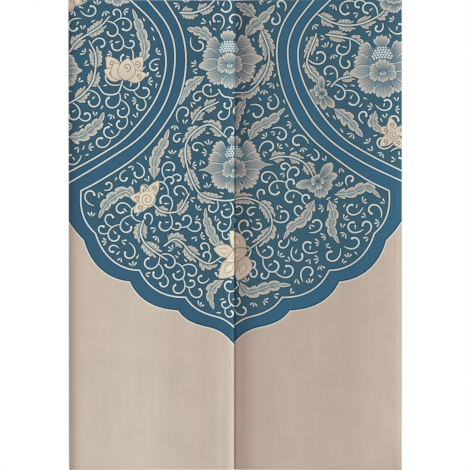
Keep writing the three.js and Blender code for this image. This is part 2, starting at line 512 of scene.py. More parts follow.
def mark(taken, points, radius):
    reach = int(math.ceil(radius / cell))
    grid = np.mgrid[-reach:reach + 1, -reach:reach + 1].reshape(2, -1)
    offset = grid[:, (grid**2).sum(0) * cell**2 <= radius**2]
    row, col = cellOf(points)
    row = np.clip(row[:, None] + offset[0], 0, rows - 1)
    col = np.clip(col[:, None] + offset[1], 0, columns - 1)
    taken[row, col] = True


def isFree(taken, line):
    return not taken[cellOf(line)].any()


class fillMap:
    # which places of the print are taken, for curls and, closer in, for drops
    def __init__(self, grounds):
        self.random = random.Random(fillStyle["seed"])
        self.forCurls = np.ones((rows, columns), bool)
        for outline in grounds:
            self.forCurls[cellsInside(outline)] = False
        self.forDrops = self.forCurls.copy()
        for outline in grounds:
            self.markRim(outline, fillStyle["edgeRoom"], 1.5)

    def markRim(self, outline, room, less):
        rim = evenly(np.vstack([outline, outline[:1]]), 2.0)
        mark(self.forCurls, rim, room)
        mark(self.forDrops, rim, room - less)

    def block(self, outline):
        inside = cellsInside(outline)
        self.forCurls[inside] = True
        self.forDrops[inside] = True
        self.markRim(outline, fillStyle["motifRoom"], 1.0)

    def takeLine(self, line):
        mark(self.forCurls, line, fillStyle["curlRoom"])
        mark(self.forDrops, line, fillStyle["dropRoom"])

    def somewhere(self):
        return np.array([self.random.uniform(-420, 420), self.random.uniform(0, 850)])


def headingOf(vector):
    return math.degrees(math.atan2(vector[1], vector[0]))


def curlLine(start, heading, size, hand, wind):
    # size is the radius of the hook; the tail comes first and the bend grows towards the end
    length = size * (4.5 + 1.1 * wind)
    bendStart, bendEnd = (hand * math.degrees(turn / size) for turn in (0.25, 1.55))
    return vine(start, heading, length, bendStart, bendEnd, 1.8)


def paintCurls(curls):
    for halo, colour in ((fillStyle["halo"], "halo"), (0, "line")):
        for line, size in curls:
            width = np.interp(np.linspace(0, 1, len(line)), [0, 0.15, 0.75, 1], fillStyle["widths"])
            # the filling is bolder on the right panel
            width = width * (1.0 if line[0][0] < 0 else fillStyle["bolderOnRight"])
            paint(stroke(line, width + halo), colour)
            paint(roundSpot(line[-1], fillStyle["endSpot"] + halo / 2), colour)


def fillWithCurls(space, stems):
    rng = space.random
    queue = []
    for stem in stems:
        line = evenly(stem, 4.0)
        along = sidesOf(line)[1]
        k = rng.choice((1, 2, 3))
        while k < len(line):
            queue += [(line[k], headingOf(along[k]), side) for side in (1, -1)]
            k += rng.choice((3, 4, 5))
    placed = []
    for start, heading, side in queue:  # grows as it runs, because each curl adds its branches
        found = None
        for size in fillStyle["sizes"]:
            for lean in fillStyle["leans"]:
                for hand in (side, -side):
                    radius = size * rng.uniform(0.95, 1.05)
                    line = curlLine(start, heading + side * lean, radius, hand, rng.uniform(0.1, 0.9))
                    if not found and isFree(space.forCurls, line[6:]):
                        found = line, radius, hand
        if not found:
            continue
        line, size, hand = found
        space.takeLine(line[2:])
        placed.append((line, size))
        along = sidesOf(line)[1]
        for share in fillStyle["branchesAt"]:
            k = int(share * (len(line) - 1))
            queue.append((line[k], headingOf(along[k]), -hand))
    # curls of their own in the holes that no branch reached
    for size in fillStyle["sizes"][1:]:
        for _ in range(fillStyle["looseTries"]):
            start = space.somewhere()
            if not isFree(space.forCurls, start):
                continue
            line = curlLine(start, rng.uniform(0, 360), size, rng.choice((-1, 1)), rng.uniform(0.1, 0.9))
            if isFree(space.forCurls, line):
                space.takeLine(line)
                placed.append((line, size))
    return placed


def fillWithDrops(space, curls):
    # drops fan out in threes and twos at the shoulders of the curls and in the holes between them
    rng = space.random
    drops = []

    def trySprig(node, heading, leans):
        found = []
        for lean in leans:
            length = rng.uniform(*fillStyle["dropLength"])
            found.append((node + towards(heading + lean) * 2.6, heading + lean, length))
        lines = [base + np.outer(np.linspace(0, length, 6), towards(way)) for base, way, length in found]
        if not all(isFree(space.forDrops, line) for line in lines):
            return False
        drops.extend(found)
        mark(space.forDrops, np.vstack(lines), fillStyle["dropsApart"])
        return True

    for line, size in curls:
        # the middle of a hook stays open
        mark(space.forDrops, line[len(line) // 2:].mean(0)[None], size * 0.8)
        across, along = sidesOf(line)
        hand = 1 if along[2][0] * along[-2][1] - along[2][1] * along[-2][0] > 0 else -1
        for share in fillStyle["dropsAt"]:
            k = int(share * (len(line) - 1))
            outward = headingOf(-hand * across[k])
            node = line[k] + towards(outward) * (fillStyle["dropRoom"] - 1.4)
            any(trySprig(node, outward, leans) for leans, tries in sprigs)
    for leans, tries in sprigs:
        for _ in range(tries):
            place = space.somewhere()
            if isFree(space.forDrops, place):
                trySprig(place, rng.uniform(0, 360), leans)
    return drops


# Borders: each row is a corner of the line, and the way in which the line arrives at it and leaves it
fieldEdge = table(
    "across down arrive leave",
    (-440, 536, 0, 62),
    (-385, 613, 44, 76),
    (-268, 718, 4, 66),
    (-144, 792, 2, 56),
    (-66, 835, 12, 12),
    (0, 879, 50, 50),
)
innerEdge = table(
    "across down arrive leave",
    (-393, 487, 0, 95),
    (-356, 596, 40, 74),
    (-243, 690, 0, 66),
    (-125, 759, -2, 58),
    (-48, 808, 14, 14),
    (0, 836, 44, 44),
)


def borderLine(corners):
    # the left half of a border, and its mirror image back up the right
    points = []
    for a, b in zip(corners, corners[1:]):
        start, end = np.array([a["across"], a["down"]]), np.array([b["across"], b["down"]])
        pull = 0.38 * np.linalg.norm(end - start)
        p1, p2 = start + pull * towards(a["leave"]), end - pull * towards(b["arrive"])
        t = np.linspace(0, 1, 25)[:-1, None]
        leaving = (1 - t) ** 3 * start + 3 * t * (1 - t) ** 2 * p1
        points.append(leaving + 3 * t**2 * (1 - t) * p2 + t**3 * end)
    half = np.vstack(points + [[[corners[-1]["across"], corners[-1]["down"]]]])
    return np.vstack([half, (half * [-1, 1])[::-1][1:]])


leftRings = {
    "outer": [(-192, -20), (-140, 68), (-125, 158), (-143, 252), (-197, 344), (-262, 408), (-344, 461),
              (-393, 487)],
    "middle": [(-240, -20), (-171, 68), (-153, 150), (-174, 252), (-235, 344), (-330, 411), (-436, 474)],
    "inner": [(-288, -20), (-202, 68), (-176, 158), (-202, 252), (-271, 344), (-345, 396), (-436, 446)],
}
rightRings = {
    "outer": [(175, -20), (120, 68), (107, 148), (131, 252), (190, 344), (262, 407), (337, 459), (393, 487)],
    "middle": [(218, -20), (151, 68), (135, 148), (164, 252), (230, 344), (322, 412), (436, 468)],
    "inner": [(264, -20), (182, 68), (161, 153), (195, 252), (269, 344), (345, 396), (436, 442)],
}
# the blue areas end above the top edge and past the sides, where the panels cut them off
aboveTop, pastSide = -10, 445
field = np.vstack([[[-440, aboveTop]], borderLine(fieldEdge), [[440, aboveTop]]])
inner = borderLine(innerEdge)
leftLines = {name: smoothPath(points, 5) for name, points in leftRings.items()}
rightLines = {name: smoothPath(points, 5) for name, points in rightRings.items()}
for growth, colour in ((3.2, "line"), (0.4, "halo"), (-2.4, "band")):
    paint(grown(field, growth), colour)
grounds = [
    np.vstack([inner, rightLines["outer"][::-1][1:], leftLines["outer"][:-1]]),
    np.vstack([leftLines["inner"], [[-pastSide, 445], [-pastSide, aboveTop]]]),
    np.vstack([rightLines["inner"], [[pastSide, 445], [pastSide, aboveTop]]]),
]
for outline in grounds:
    paint(outline, "ground")

# Stems: the places each goes through, the width of its blades, and each blade's start, end, side and lobes
stemRows = table(
    "through bladeWidth blades",
    ([(-20, 350), (-65, 318), (-115, 350), (-125, 405), (-92, 490), (-30, 512), (40, 506), (90, 537),
      (95, 590), (35, 643)], 15,
     [(0.01, 0.09, -1, 4), (0.03, 0.12, 1, 4), (0.10, 0.21, -1, 5), (0.13, 0.23, 1, 4), (0.22, 0.32, -1, 5),
      (0.24, 0.33, 1, 4), (0.33, 0.44, -1, 5), (0.34, 0.43, 1, 4), (0.45, 0.56, -1, 5), (0.44, 0.53, 1, 4),
      (0.60, 0.71, 1, 5), (0.60, 0.69, -1, 4), (0.72, 0.83, 1, 5), (0.72, 0.81, -1, 4), (0.84, 0.96, 1, 4),
      (0.83, 0.95, -1, 4)]),
    ([(64, 68), (87, 135), (75, 190), (38, 232), (-5, 236)], 17,
     [(0.02, 0.36, -1, 5), (0.04, 0.42, 1, 6), (0.42, 0.78, 1, 5), (0.38, 0.68, -1, 5),
      (0.68, 0.98, -1, 5)]),
    ([(-140, 32), (-105, 32), (-70, 18), (-48, -6)], 15,
     [(0.02, 0.42, 1, 5), (0.02, 0.34, -1, 4), (0.45, 0.85, 1, 5), (0.40, 0.75, -1, 4)]),
    ([(-108, 315), (-85, 282), (-42, 260)], 15,
     [(0.05, 0.55, -1, 4), (0.1, 0.5, 1, 4), (0.55, 0.98, -1, 4), (0.5, 0.9, 1, 3)]),
    ([(95, 407), (120, 400), (155, 403), (185, 420), (205, 455)], 14,
     [(0.0, 0.3, -1, 4), (0.02, 0.28, 1, 4), (0.33, 0.62, -1, 4), (0.36, 0.6, 1, 4), (0.66, 0.95, -1, 4),
      (0.66, 0.92, 1, 3)]),
    ([(-425, 265), (-390, 243), (-362, 205), (-355, 145), (-372, 105)], 16,
     [(0.1, 0.34, -1, 5), (0.1, 0.32, 1, 4), (0.36, 0.6, -1, 5), (0.36, 0.58, 1, 5), (0.62, 0.92, -1, 5),
      (0.62, 0.9, 1, 5)]),
    ([(-422, 133), (-401, 105), (-345, 69), (-320, 42)], 15,
     [(0.05, 0.4, 1, 5), (0.1, 0.42, -1, 4), (0.45, 0.9, -1, 5), (0.45, 0.85, 1, 5)]),
    ([(-287, 207), (-300, 238), (-332, 240), (-350, 218)], 0, []),
    ([(212, 38), (247, 58), (287, 66), (328, 60), (368, 40), (388, 18)], 15,
     [(0.0, 0.24, -1, 5), (0.04, 0.26, 1, 4), (0.26, 0.5, -1, 5), (0.28, 0.52, 1, 5), (0.52, 0.76, -1, 5),
      (0.55, 0.78, 1, 4), (0.78, 0.99, 1, 4)]),
    ([(232, 89), (297, 101), (325, 121), (331, 136)], 14,
     [(0.02, 0.45, -1, 5), (0.06, 0.46, 1, 5), (0.5, 0.92, -1, 4)]),
    ([(208, 87), (184, 152), (192, 182), (208, 198), (235, 240)], 13,
     [(0.02, 0.4, 1, 5), (0.02, 0.34, -1, 4), (0.42, 0.85, 1, 5), (0.45, 0.8, -1, 4)]),
    ([(245, 222), (267, 202), (310, 194), (335, 190)], 13, [(0.3, 0.7, 1, 5), (0.35, 0.75, -1, 4)]),
    ([(196, 517), (178, 550), (154, 566)], 0, []),
    ([(12, 720), (24, 741), (50, 748)], 0, []),
    ([(-233, 563), (-241, 592), (-231, 619), (-208, 640), (-172, 664)], 17,
     [(0.02, 0.4, -1, 5), (0.04, 0.42, 1, 5), (0.42, 0.8, 1, 5), (0.44, 0.84, -1, 5)]),
    ([(-180, 628), (-154, 611), (-131, 622), (-112, 645), (-67, 673), (-32, 656)], 17,
     [(0.08, 0.34, -1, 5), (0.12, 0.36, 1, 4), (0.36, 0.62, -1, 5), (0.36, 0.64, 1, 5), (0.64, 0.9, 1, 4)]),
    ([(-32, 718), (-52, 733), (-64, 752)], 0, []),
    ([(-205, 524), (-188, 539), (-163, 543), (-138, 534), (-116, 494)], 13,
     [(0.05, 0.34, 1, 4), (0.08, 0.36, -1, 3), (0.5, 0.86, 1, 5), (0.52, 0.84, -1, 4)]),
    ([(-42, 228), (-29, 245), (-3, 250)], 0, []),
)
# Leaves: places that each midrib goes through, the widths of its two sides and its lobes
leafRows = table(
    "through width second lobes",
    ([(26, 92), (45, 66), (66, 50), (102, 13)], 20, 15, 4),
    ([(-60, 104), (-80, 84), (-122, 72)], 15, 17, 4),
    ([(-79, 195), (-115, 220), (-142, 268)], 14, 13, 4),
    ([(50, 44), (35, 25), (2, 8)], 15, 18, 4),
    ([(27, 255), (10, 283), (12, 332)], 13, 15, 4),
    ([(44, 357), (58, 328), (98, 305), (128, 275)], 17, 15, 5),
    ([(-424, 350), (-393, 347), (-348, 312), (-335, 286)], 20, 16, 5),
    ([(-240, 162), (-230, 125), (-240, 84), (-262, 22)], 16, 13, 5),
    ([(254, 279), (290, 305), (328, 350)], 18, 15, 4),
    ([(358, 285), (354, 316), (384, 344)], 13, 13, 4),
    ([(258, 497), (299, 493), (338, 478), (372, 506)], 14, 16, 5),
    ([(243, 512), (255, 547), (248, 580), (268, 622)], 16, 13, 5),
    ([(205, 512), (180, 560), (150, 578), (128, 612)], 15, 15, 5),
    ([(-256, 506), (-280, 489), (-323, 516), (-348, 558)], 18, 15, 5),
    ([(-206, 456), (-204, 405), (-180, 362), (-168, 328)], 17, 15, 5),
    ([(20, 722), (40, 746), (100, 729), (148, 727)], 18, 15, 5),
    ([(-28, 716), (-52, 733), (-62, 755), (-52, 790)], 14, 12, 4),
    ([(-20, 638), (-50, 615), (-72, 560), (-74, 530)], 15, 13, 5),
)
firstMotif = len(shapes)
stems = [leafyStem(row["through"], row["bladeWidth"], row["blades"]) for row in stemRows]
for row in leafRows:
    leaf(smoothPath(row["through"], 2.5), row["width"], row["second"], row["lobes"])
peony(-14, 152, 73, turn=-3)
peony(2, 420, 73, wider=1.04, drawn=1.0)
peony(376, 172, 78, turn=-2)
fivePetals(215, 462, 42)
fivePetals(222, 240, 34, turn=100)
lotus(-284, 200, 0, [(-10, -10, -128, 56, 36, 0.04, "whorl"), (12, -10, -48, 58, 36, -0.04, "whorl"),
                     (-6, 0, -160, 48, 32, 0.10, "whorl"), (8, 2, -14, 52, 30, 0.00, "whorl"),
                     (-6, 4, -112, 46, 38, 0.00, "none"), (4, 6, -84, 58, 44, 0.02, "whorl")])
lotus(-223, 509, 21, [(0, 0, -62, 56, 28, 0.06, "whorl"), (0, 0, -112, 40, 22, 0, "whorl"),
                      (0, 0, 188, 46, 26, 0, "whorl"), (0, 0, 128, 48, 28, 0.12, "whorl")])
lotus(0, 660, 0, [(32, -20, -136, 66, 42, 0.10, "drop"), (0, -14, -168, 54, 34, 0, "drop"),
                  (36, -6, 102, 66, 42, 0.14, "drop"), (12, 2, 140, 70, 44, -0.06, "drop"),
                  (38, -22, 158, 68, 30, -0.08, "drop")])
lotus(404, 345, 14, [(0, 0, heading, length, width, 0, "whorl") for heading, length, width in
                     ((-150, 38, 24), (-100, 44, 26), (-30, 38, 24), (60, 38, 24), (140, 44, 26))])
peony(-446, 180, 48)
peony(-300, -28, 44)
peony(405, -10, 44)
lotus(-425, -4, 0, [(0, 0, 20, 40, 28, 0, "line"), (0, 0, 80, 36, 28, 0, "line")])

# The filling keeps clear of the motifs and lies under them
motifs = shapes[firstMotif:]
del shapes[firstMotif:]
space = fillMap(grounds)
for outline, colour, *_ in motifs:
    # a motif's dark edge is its whole outline; the shortest ones are stamens, which lie inside a flower
    if colour == inkColours["halo"] and len(outline) > 20:
        space.block(outline)
curls = fillWithCurls(space, stems)
drops = fillWithDrops(space, curls)
print("curls", len(curls), "drops", len(drops))
paintCurls(curls)
for base, heading, length in drops:
    drop(base, heading, length, fillStyle["dropWidth"])
shapes.extend(motifs)

# bands and lines over the motifs' cut ends
for lines, edge in ((leftLines, -pastSide), (rightLines, pastSide)):
    paint(np.vstack([lines["outer"], [[edge, lines["outer"][-1][1] + 30]], lines["inner"][::-1]]), "band")
    for name in ("middle", "inner"):
        paintLine(lines[name], 3.9, 2.1)
paintLine(np.vstack([leftLines["outer"], inner, rightLines["outer"][::-1]]), 3.9, 2.1)


# A socket that takes part in Python expressions
class shade:
    def __init__(self, tree, socket=None):
        self.tree = tree
        self.socket = socket

    def node(self, kind, settings, sockets, output=0):
        # settings first, because some of them change which sockets there are
        made = self.tree.nodes.new(kind)
        for name, value in settings.items():
            setattr(made, name, value)
        for name, value in sockets.items():
            if isinstance(value, shade):
                value.feed(made.inputs[name])
            else:
                made.inputs[name].default_value = value
        return shade(self.tree, made.outputs[output]) if made.outputs else None

    def feed(self, socket):
        self.tree.links.new(self.socket, socket)

    def number(self, operation, first, second):
        return self.node("ShaderNodeMath", {"operation": operation}, {0: first, 1: second})

    def __add__(self, other):
        return self.number("ADD", self, other)

    __radd__ = __add__

    def __sub__(self, other):
        return self.number("SUBTRACT", self, other)

    def __rsub__(self, other):
        return self.number("SUBTRACT", other, self)

    def __mul__(self, other):
        return self.number("MULTIPLY", self, other)

    __rmul__ = __mul__

    def scaled(self, factor):
        # a colour or vector times a number or a vector
        if isinstance(factor, tuple):
            return self.node("ShaderNodeVectorMath", {"operation": "MULTIPLY"}, {0: self, 1: factor})
        return self.node("ShaderNodeVectorMath", {"operation": "SCALE"}, {0: self, "Scale": factor})


def addObject(name, data):
    made = bpy.data.objects.new(name, data)
    bpy.context.scene.collection.objects.link(made)
    return made


# Camera, light and floor
viewSetup = {
    "distance": 8.0,
    "middle": (0.0002, -0.6000),
    "viewWidth": 1.2020,
    "sensorWidth": 36.0,
    "keyAngle": 75.0,
    "keyRise": 12.0,
    "keyStrength": 4.34,
    "keyColour": (0.82, 1.0, 0.985),
    "sunSoftness": 15.0,
    "backPlace": (0.35, 0.8, 0.5),
    "backStrength": 0.9,
    "backColour": (0.80, 1.0, 1.12),
    "ambient": 0.543,
    "ambientColour": (1.11, 0.966, 0.956, 1.0),
    "floorLevel": -1.45,
    "floorRadius": 1.6,
    "floorColour": (0.80, 0.79, 0.77, 1.0),
}


def makeCamera():
    data = bpy.data.cameras.new("camera")
    data.sensor_width = viewSetup["sensorWidth"]
    data.lens = viewSetup["sensorWidth"] * viewSetup["distance"] / viewSetup["viewWidth"]
    data.clip_end = 100
    camera = addObject("camera", data)
    across, height = viewSetup["middle"]
    camera.location = (across, -viewSetup["distance"], height)
    camera.rotation_euler = (math.radians(90), 0, 0)
    bpy.context.scene.camera = camera


def makeSun(name, source, strength, colour):
    data = bpy.data.lights.new(name, "SUN")
    data.energy = strength
    data.angle = math.radians(viewSetup["sunSoftness"])
    data.color = colour
    addObject(name, data).rotation_euler = Vector(source).to_track_quat("Z", "Y").to_euler()


def makeLights():
    turn, rise = math.radians(viewSetup["keyAngle"]), math.radians(viewSetup["keyRise"])
    source = (math.sin(turn) * math.cos(rise), -math.cos(turn) * math.cos(rise), math.sin(rise))
    makeSun("key light", source, viewSetup["keyStrength"], viewSetup["keyColour"])
    makeSun("back light", viewSetup["backPlace"], viewSetup["backStrength"], viewSetup["backColour"])
    # white behind the curtain, and a softer light from all round
    world = bpy.data.worlds.new("studio")
    bpy.context.scene.world = world
    world.use_nodes = True
    world.node_tree.nodes.clear()
    build = shade(world.node_tree)
    isSeen = build.node("ShaderNodeLightPath", {}, {})
    white = build.node("ShaderNodeBackground", {}, {"Color": (1, 1, 1, 1)})
    light = build.node("ShaderNodeBackground", {},
                       {"Color": viewSetup["ambientColour"], "Strength": viewSetup["ambient"]})
    mixed = build.node("ShaderNodeMixShader", {}, {0: isSeen, 1: light, 2: white})
    build.node("ShaderNodeOutputWorld", {}, {"Surface": mixed})
    bpy.context.scene.view_settings.view_transform = "Standard"


def newMaterial(name, roughness):
    material = bpy.data.materials.new(name)
    material.use_nodes = True
    shader = material.node_tree.nodes["Principled BSDF"]
    shader.inputs["Roughness"].default_value = roughness
    return material, shade(material.node_tree), shader.inputs


def makeFloor():
    mesh = bpy.data.meshes.new("floor")
    shape = bmesh.new()
    bmesh.ops.create_circle(shape, cap_ends=True, segments=96, radius=viewSetup["floorRadius"])
    shape.to_mesh(mesh)
    shape.free()
    mesh.transform(Matrix.Translation((0, 0, viewSetup["floorLevel"])))
    material, build, inputs = newMaterial("pale floor", 0.8)
    inputs["Base Color"].default_value = viewSetup["floorColour"]
    mesh.materials.append(material)
    addObject("floor", mesh)


weaveLook = {
    "threads": (1500.0, 45.0),  # so many a metre across the threads and along them
    "slubs": (380.0, 16.0),
    "clouds": (16.0, 11.0),
    "streaks": (60.0, 2.5),
    "grain": 0.17,
    "slubShare": 0.13,
    "mottle": 0.15,
    "streakShare": 0.07,
    "roughness": 0.86,
    "roughnessSpread": 0.16,
    "bump": 0.30,
    "bumpDepth": 0.0004,
    "slubRelief": 0.6,
    "sheen": 0.08,
    "sheenRoughness": 0.5,
    "specular": 0.25,
}


def noiseAt(place, counts, detail=2.0):
    sockets = {"Vector": place.scaled((*counts, 1)), "Scale": 1.0, "Detail": detail, "Roughness": 0.6}
    return place.node("ShaderNodeTexNoise", {"noise_dimensions": "2D"}, sockets)


def bothWays(place, counts):
    # the same noise along the warp and along the weft
    return (noiseAt(place, counts) + noiseAt(place, counts[::-1])) * 0.5


def makePrintedCloth():
    look = weaveLook
    material, build, inputs = newMaterial("printed plain weave", look["roughness"])
    place = build.node("ShaderNodeUVMap", {"uv_map": "flatCut"}, {})
    ink = build.node("ShaderNodeAttribute", {"attribute_name": "print"}, {})
    grain = bothWays(place, look["threads"])
    slubs = bothWays(place, look["slubs"])
    cloud = noiseAt(place, look["clouds"], 4.0)
    streak = noiseAt(place, look["streaks"], 3.0)
    tone = (grain - 0.5) * look["grain"] + (slubs - 0.5) * look["slubShare"]
    tone = tone + (cloud - 0.5) * look["mottle"] + (streak - 0.5) * look["streakShare"] + 1.0
    ink.scaled(tone).feed(inputs["Base Color"])
    ((grain - 0.5) * look["roughnessSpread"] + look["roughness"]).feed(inputs["Roughness"])
    relief = build.node("ShaderNodeBump", {}, {"Strength": look["bump"], "Distance": look["bumpDepth"],
                                              "Height": grain + slubs * look["slubRelief"]})
    relief.feed(inputs["Normal"])
    inputs["Sheen Weight"].default_value = look["sheen"]
    inputs["Sheen Roughness"].default_value = look["sheenRoughness"]
    inputs["Specular IOR Level"].default_value = look["specular"]
    return material


# The cloth's own form, in millimetres: the folds and hem widths of the solids, in a thinner cloth
# the groove, the tuck, the wider lap and the pressed foot are in this form alone
hungCloth = {
    "width": 425.0,
    "drop": 1200.0,
    "seamLength": 230.0,
    "thickness": 0.6,
    "hemThickness": 1.3,
    "sideHem": 20.0,
    "slitHem": 12.0,
    "bottomHem": 24.0,
    "hemStep": 1.6,
    "seamGap": 0.3,
    "parting": 34.0,
    "lapLength": 60.0,
    "edgeShiftReach": 34.0,
    "grooveEnd": 9.8,
    "grooveWall": 1.8,
    "tuckReach": 7.5,
    "tuckDelay": 9.0,
    "footTrough": 4.9,
    "troughDepth": 0.9,
    "footFlare": 3.2,
    "curlAcross": 46.0,
    "curlUp": 60.0,
    "curlForward": 7.0,
    "rimBulge": 0.12,
}
foldHeights = [0.0, 230.0, 600.0, 1200.0]
# each row: distance from the seam, then how far forward the cloth stands at each of the fold heights
leftFolds = [
    (0, 0, 0, 0, 0),
    (5, 1.9, 2.1, 2.2, 2.3),
    (12, 3.7, 4.0, 4.3, 4.5),
    (20, 5.2, 5.6, 6.0, 6.4),
    (32, 6.7, 7.2, 7.7, 8.1),
    (50, 7.5, 8.0, 8.5, 8.9),
    (74, 7.8, 8.2, 8.6, 8.9),
    (110, 8.4, 8.8, 8.9, 8.9),
    (190, 11.4, 12.0, 12.2, 11.0),
    (280, 16.4, 17.6, 18.2, 18.6),
    (350, 20.2, 21.4, 22.4, 23.0),
    (398, 22.0, 23.4, 24.4, 25.2),
    (414, 21.7, 22.9, 23.7, 24.1),
    (425, 19.8, 20.6, 21.0, 20.6),
]
rightFolds = [
    (0, 0, 0, 0, 0),
    (12, 3.4, 3.6, 3.7, 3.7),
    (32, 9.9, 10.3, 10.5, 10.5),
    (50, 13.4, 13.8, 14.2, 14.2),
    (70, 15.8, 16.3, 16.6, 16.6),
    (110, 18.8, 19.7, 20.2, 20.5),
    (180, 22.0, 23.2, 24.2, 25.2),
    (260, 27.4, 28.8, 30.0, 31.0),
    (325, 31.8, 33.0, 34.6, 35.8),
    (380, 33.2, 34.6, 36.2, 37.2),
    (410, 33.0, 34.4, 36.0, 36.8),
    (425, 31.9, 33.1, 34.7, 35.4),
]
# how far in a panel's outer side lies, by the share of the drop
leftSideLine = [(0, 0), (0.4, 0.9), (0.93, 1.4), (1, 2.1)]
rightSideLine = [(0, 0), (0.45, 0), (0.8, 0), (1, 0.7)]
panels = dict(zip(("left", "right"), table(
    "side folds sideLine edgeForward groove lap tuck",
    (-1, leftFolds, leftSideLine, 3.0, 0.0, -1.8, 0.0),
    (1, rightFolds, rightSideLine, 0.0, 6.6, 6.8, 8.0),
)))


def smoothThrough(rows, column, at):
    # a smooth curve through a table's rows at the places at
    return smoothCurve([row[0] for row in rows], [row[column] for row in rows], at)


def smoothCurve(places, values, at):
    # values has a row for each place and may have a column for each point
    places = np.asarray(places, float)
    values = np.asarray(values, float)
    last = len(places) - 1
    k = np.clip(np.searchsorted(places, at, side="left") - 1, 0, last - 1)

    def valueAt(row):
        return values[row] if values.ndim == 1 else np.take_along_axis(values, row[None], 0)[0]

    def slopeAt(row):
        before, after = np.maximum(row - 1, 0), np.minimum(row + 1, last)
        return (valueAt(after) - valueAt(before)) / (places[after] - places[before])

    width = places[k + 1] - places[k]
    t = np.clip((at - places[k]) / width, 0, 1)
    rise = valueAt(k + 1) - valueAt(k)
    startBend = slopeAt(k) * width - rise
    endBend = rise - slopeAt(k + 1) * width
    return valueAt(k) + rise * t + t * (1 - t) * (startBend * (1 - t) + endBend * t)


def hemStarts():
    # where the slit's hem ends, and where the outer and the bottom hem start
    outer = hungCloth["width"] - hungCloth["sideHem"]
    return hungCloth["slitHem"], outer, hungCloth["drop"] - hungCloth["bottomHem"]


def hemShare(fromMiddle, down):
    step = hungCloth["hemStep"]
    slit, outer, low = hemStarts()
    inSlit = 1 - smoothstep(fromMiddle, slit, slit + step)
    inOuter = smoothstep(fromMiddle, outer - step, outer)
    return np.maximum(np.maximum(inSlit, inOuter), smoothstep(down, low - step, low))


def forwardOf(panel, fromMiddle, down, parted):
    # how far forward of the seam a panel stands: its folds, its slit edge, the curled corner and the foot
    lines = np.stack([smoothThrough(panel["folds"], k, fromMiddle) for k in (1, 2, 3, 4)])
    forward = smoothCurve(foldHeights, lines, down)
    nearEdge = 1 - smoothstep(fromMiddle, 0, hungCloth["edgeShiftReach"])
    grooveEnd = hungCloth["grooveEnd"]
    inGroove = 1 - smoothstep(fromMiddle, grooveEnd - hungCloth["grooveWall"], grooveEnd)
    forward = forward + (panel["edgeForward"] * nearEdge - panel["groove"] * inGroove) * parted
    aboveFoot = hungCloth["drop"] - down
    if panel["side"] > 0:
        across = 1 - (hungCloth["width"] - fromMiddle) / hungCloth["curlAcross"]
        up = 1 - aboveFoot / hungCloth["curlUp"]
        forward = forward + hungCloth["curlForward"] * np.maximum(0, (across + up) / 2) ** 2
    # the bottom hem is pressed in along its last stitches and its edge turns a little forward
    foot = hungCloth["footTrough"]
    trough = 1 - smoothstep(np.abs(aboveFoot - foot), 0, foot * 0.7)
    flare = 1 - smoothstep(aboveFoot, 0, foot)
    return forward - hungCloth["troughDepth"] * trough + hungCloth["footFlare"] * flare


def clothPoints(panel, fromMiddle, down, depth):
    # the place of each point of a panel, in metres: depth 0 is the printed face and 1 the back
    partingStart = hungCloth["seamLength"]
    partingEnd = partingStart + hungCloth["parting"]
    forward = forwardOf(panel, fromMiddle, down, smoothstep(down, partingStart, partingEnd))
    outward = fromMiddle / hungCloth["width"]
    inward = smoothThrough(panel["sideLine"], 1, down / hungCloth["drop"])
    lap = smoothstep(down, partingEnd, partingEnd + hungCloth["lapLength"]) * panel["lap"]
    # the edge behind is tucked further under the one in front, so that no light shows between them
    tucked = smoothstep(down, partingStart + hungCloth["tuckDelay"], partingEnd + 2) * panel["tuck"]
    tucked = tucked * (1 - smoothstep(fromMiddle, 0, hungCloth["tuckReach"]))
    edgeShift = (hungCloth["seamGap"] / 2 - lap) * (1 - outward)
    x = panel["side"] * (fromMiddle - inward * outward + edgeShift - tucked)
    thin = hungCloth["thickness"]
    y = depth * (thin + (hungCloth["hemThickness"] - thin) * hemShare(fromMiddle, down)) - thin / 2 - forward
    return np.stack([x, y, -down], -1) * metre


def clothNormals(panel, fromMiddle, down, depth):
    def pointsAt(aside, lower):
        return clothPoints(panel, fromMiddle + aside, down + lower, depth)

    ahead = pointsAt(0.4, 0) - pointsAt(-0.4, 0)
    below = pointsAt(0, 0.8) - pointsAt(0, -0.8)
    normals = np.cross(ahead, below) * panel["side"] * (1 - 2 * depth)
    normals /= np.linalg.norm(normals, axis=1, keepdims=True)
    return normals * np.where(np.sum(normals * [0, 2 * depth - 1, 0], 1) < 0, -1, 1)[:, None]


# The printed face as triangles: every outline of the print is an edge of the mesh
def simplified(outline, tolerance):
    # leaves out the points of a closed outline that lie nearly on the line between their neighbours
    keep = np.zeros(len(outline), bool)
    half = len(outline) // 2
    keep[[0, half]] = True
    stack = [(0, half), (half, len(outline))]
    closed = np.vstack([outline, outline[:1]])
    while stack:
        a, b = stack.pop()
        if b - a < 2:
            continue
        start, chord = closed[a], closed[b] - closed[a]
        offset = closed[a + 1:b] - start
        length = np.linalg.norm(chord)
        away = np.abs(offset[:, 0] * chord[1] - offset[:, 1] * chord[0]) / max(length, 1e-6)
        if length < 1e-3:
            away = np.linalg.norm(offset, axis=1)
        k = int(np.argmax(away))
        if away[k] > tolerance:
            keep[a + 1 + k] = True
            stack += [(a, a + 1 + k), (a + 1 + k, b)]
    return outline[keep]


def stopsAlong(*spans):
    # places along a side from one end to the other: each span is a start, an end and a spacing
    stops = []
    for start, end, spacing in spans:
        count = max(1, math.ceil((end - start) / spacing))
        stops += [start + (end - start) * k / count for k in range(count)]
    return stops + [spans[-1][1]]


